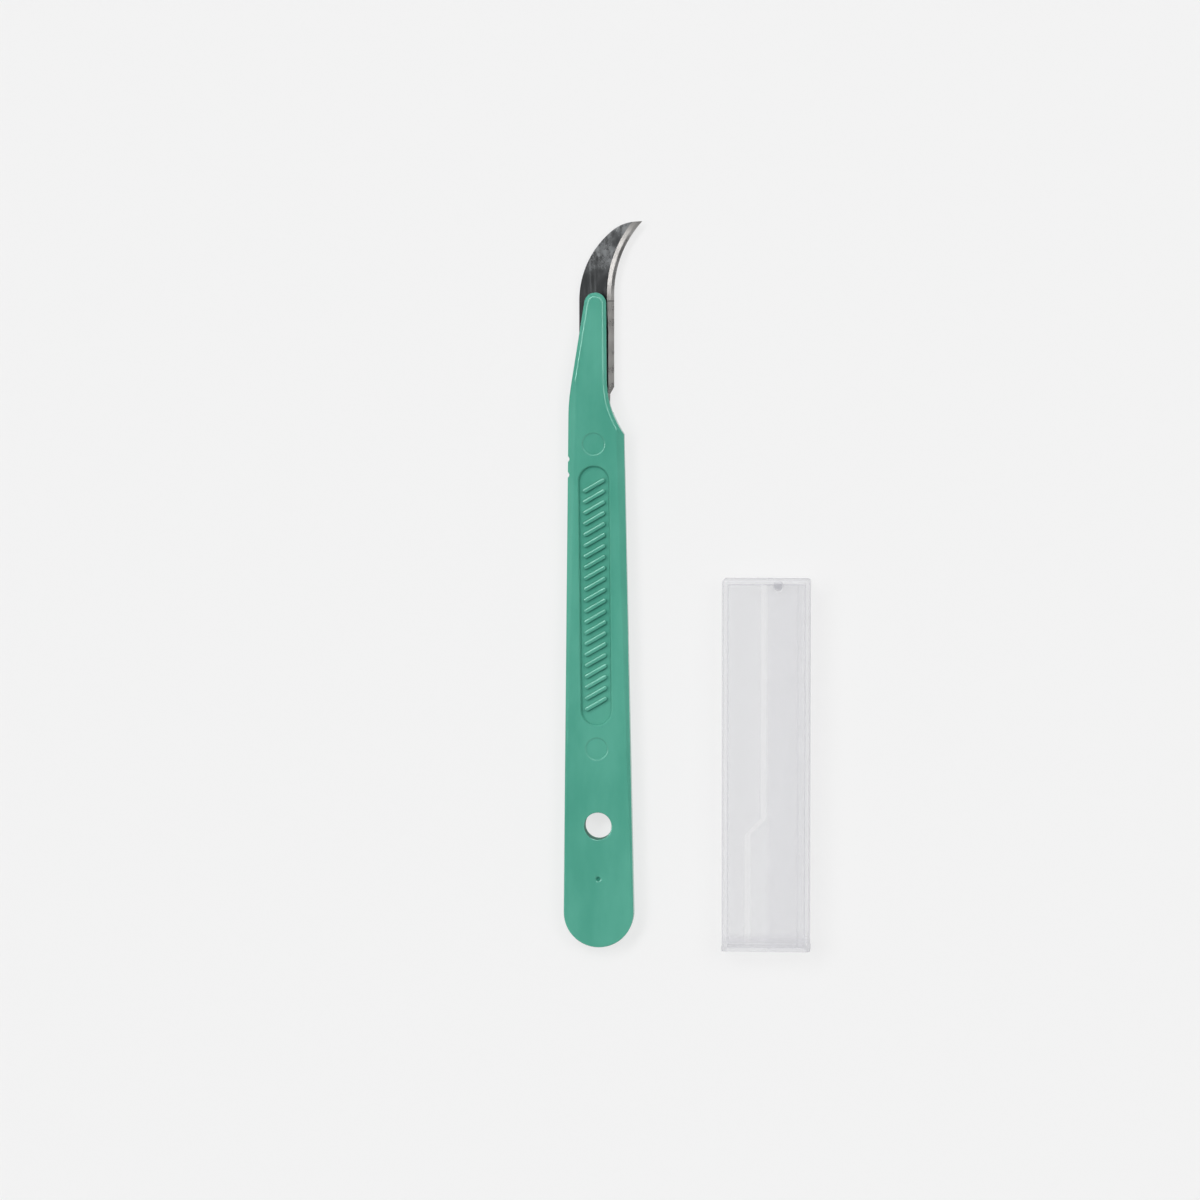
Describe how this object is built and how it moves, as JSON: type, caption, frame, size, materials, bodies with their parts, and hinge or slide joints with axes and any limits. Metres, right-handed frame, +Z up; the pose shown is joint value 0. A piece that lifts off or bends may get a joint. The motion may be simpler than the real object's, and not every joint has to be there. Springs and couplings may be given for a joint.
{
  "type": "disposable scalpel",
  "caption": "Flat moulded handle with ribbed grip recesses and a hanging hole, a hooked ground blade staked to its tongue, and a loose translucent sleeve guard laid beside it.",
  "frame": {"origin": "axis of the hanging hole, at the underside of the handle, on the surface that the part lies on", "axes": "+Y along the handle to the blade's point, +X to the cutting side, +Z up through the handle's thickness"},
  "size_m": [0.0494, 0.1453, 0.0069],
  "materials": {
    "green_plastic": "satin moulded plastic",
    "blade_steel": "polished flats with ground edge bevels",
    "frosted_plastic": "frosted translucent moulded plastic"
  },
  "bodies": {
    "root": {"handle": "green_plastic", "blade": "blade_steel", "blade_guard": "frosted_plastic"}
  },
  "joints": []
}
